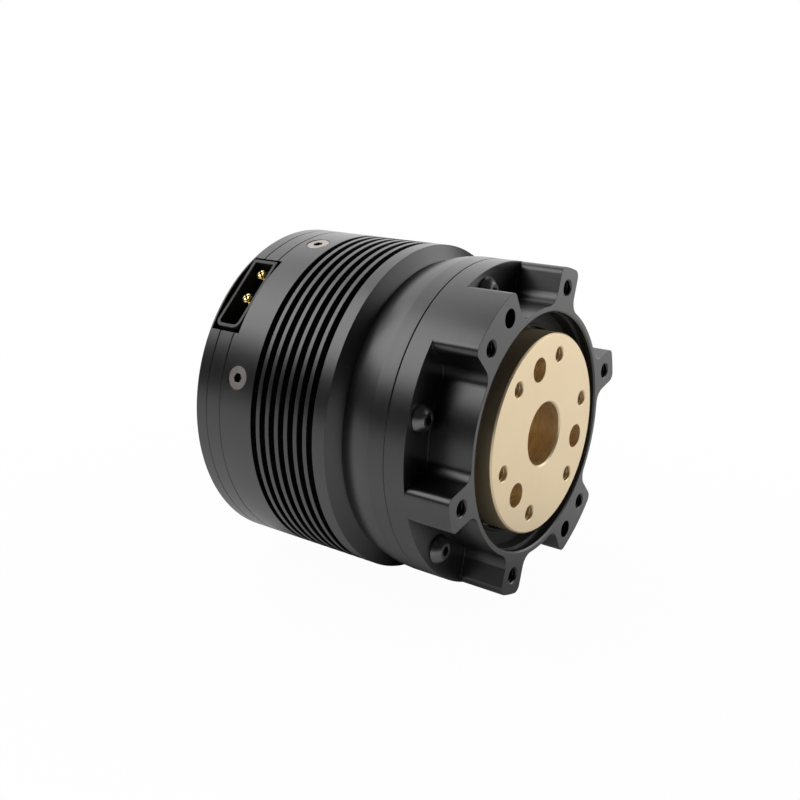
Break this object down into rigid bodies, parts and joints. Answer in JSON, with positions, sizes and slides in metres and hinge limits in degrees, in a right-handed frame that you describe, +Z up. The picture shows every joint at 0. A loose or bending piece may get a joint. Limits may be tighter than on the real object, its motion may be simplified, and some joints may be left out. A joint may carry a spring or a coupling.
{
  "type": "robot joint actuator",
  "caption": "Compact robot joint actuator: a finned cylindrical motor case, a lugged mounting flange and a gold output disc driven through a planetary stage.",
  "frame": {"origin": "on the output axis, in the plane of the mounting lugs' front faces", "axes": "+X along the output axis and out of the output face, +Z up as it lies with its connector at the upper side"},
  "size_m": [0.0505, 0.056, 0.056],
  "materials": {
    "black_anodised": "fine-turned, satin black anodised",
    "gold_anodised": "fine-turned, pale champagne gold anodised",
    "seal_rubber": "matt black moulded rubber",
    "black_screw": "black oxide steel",
    "bright_screw": "bright zinc-plated steel",
    "connector_plastic": "matt black glass-filled plastic",
    "gold_contact": "gold-plated",
    "lamination": "stacked electrical steel",
    "copper_wire": "enamelled copper winding",
    "lead_insulation": "soft insulation",
    "magnet": "nickel-plated",
    "board": "green solder mask",
    "chip": "moulded package",
    "capacitor_can": "drawn can",
    "raw_aluminium": "machined",
    "bronze": "sintered bronze",
    "gear_steel": "ground steel"
  },
  "bodies": {
    "housing": {"front_housing": "black_anodised", "gearbox_case": "black_anodised", "motor_case": "black_anodised", "rear_spacer": "black_anodised", "rear_cover": "black_anodised", "output_seal": "seal_rubber", "output_bearing_outer": "gear_steel", "ring_gear": "gear_steel", "carrier_bearing_outer": "gear_steel", "rotor_front_bearing_outer": "gear_steel", "rotor_rear_bearing_outer": "gear_steel", "stator_core": "lamination", "stator_windings": "copper_wire", "phase_leads": "lead_insulation", "rear_bell": "raw_aluminium", "controller_board": "board", "encoder_chip": "chip", "power_transistors": "chip", "capacitors": "capacitor_can", "cover_posts": "raw_aluminium", "connector_shell": "connector_plastic", "power_pins": "gold_contact", "signal_pins": "gold_contact", "case_screws": "black_screw", "bell_screws": "bright_screw", "cover_screws": "bright_screw"},
    "output": {"output_flange": "gold_anodised", "output_bearing_inner": "gear_steel", "output_bearing_rollers": "gear_steel", "planet_carrier": "gear_steel", "carrier_rear_plate": "gear_steel", "planet_pins": "gear_steel", "carrier_screws": "gear_steel", "carrier_bearing_inner": "gear_steel", "carrier_bearing_balls": "gear_steel"},
    "rotor": {"rotor_shaft": "gear_steel", "rotor_hub": "raw_aluminium", "rotor_magnets": "magnet", "sun_gear": "gear_steel", "encoder_magnet": "magnet", "rotor_front_bearing_inner": "gear_steel", "rotor_front_bearing_balls": "gear_steel", "rotor_rear_bearing_inner": "gear_steel", "rotor_rear_bearing_balls": "gear_steel"},
    "planet_1": {"planet_gear_1": "gear_steel", "planet_bush_1": "bronze"},
    "planet_2": {"planet_gear_2": "gear_steel", "planet_bush_2": "bronze"},
    "planet_3": {"planet_gear_3": "gear_steel", "planet_bush_3": "bronze"}
  },
  "joints": [
    {"name": "output_spin", "type": "hinge", "parent": "housing", "child": "output", "pos_m": [0, 0, 0], "axis": [1, 0, 0], "continuous": true},
    {"name": "rotor_spin", "type": "hinge", "parent": "housing", "child": "rotor", "pos_m": [0, 0, 0], "axis": [1, 0, 0], "continuous": true},
    {"name": "planet_1_spin", "type": "hinge", "parent": "output", "child": "planet_1", "pos_m": [-0.0161, 0.0033, 0.01028], "axis": [1, 0, 0], "continuous": true},
    {"name": "planet_2_spin", "type": "hinge", "parent": "output", "child": "planet_2", "pos_m": [-0.0161, -0.01056, -0.00228], "axis": [1, 0, 0], "continuous": true},
    {"name": "planet_3_spin", "type": "hinge", "parent": "output", "child": "planet_3", "pos_m": [-0.0161, 0.00725, -0.008], "axis": [1, 0, 0], "continuous": true}
  ],
  "couplings": [
    {"joint": "rotor_spin", "follows": "output_spin", "ratio": 6},
    {"joint": "planet_1_spin", "follows": "output_spin", "ratio": -2.5},
    {"joint": "planet_2_spin", "follows": "output_spin", "ratio": -2.5},
    {"joint": "planet_3_spin", "follows": "output_spin", "ratio": -2.5}
  ]
}
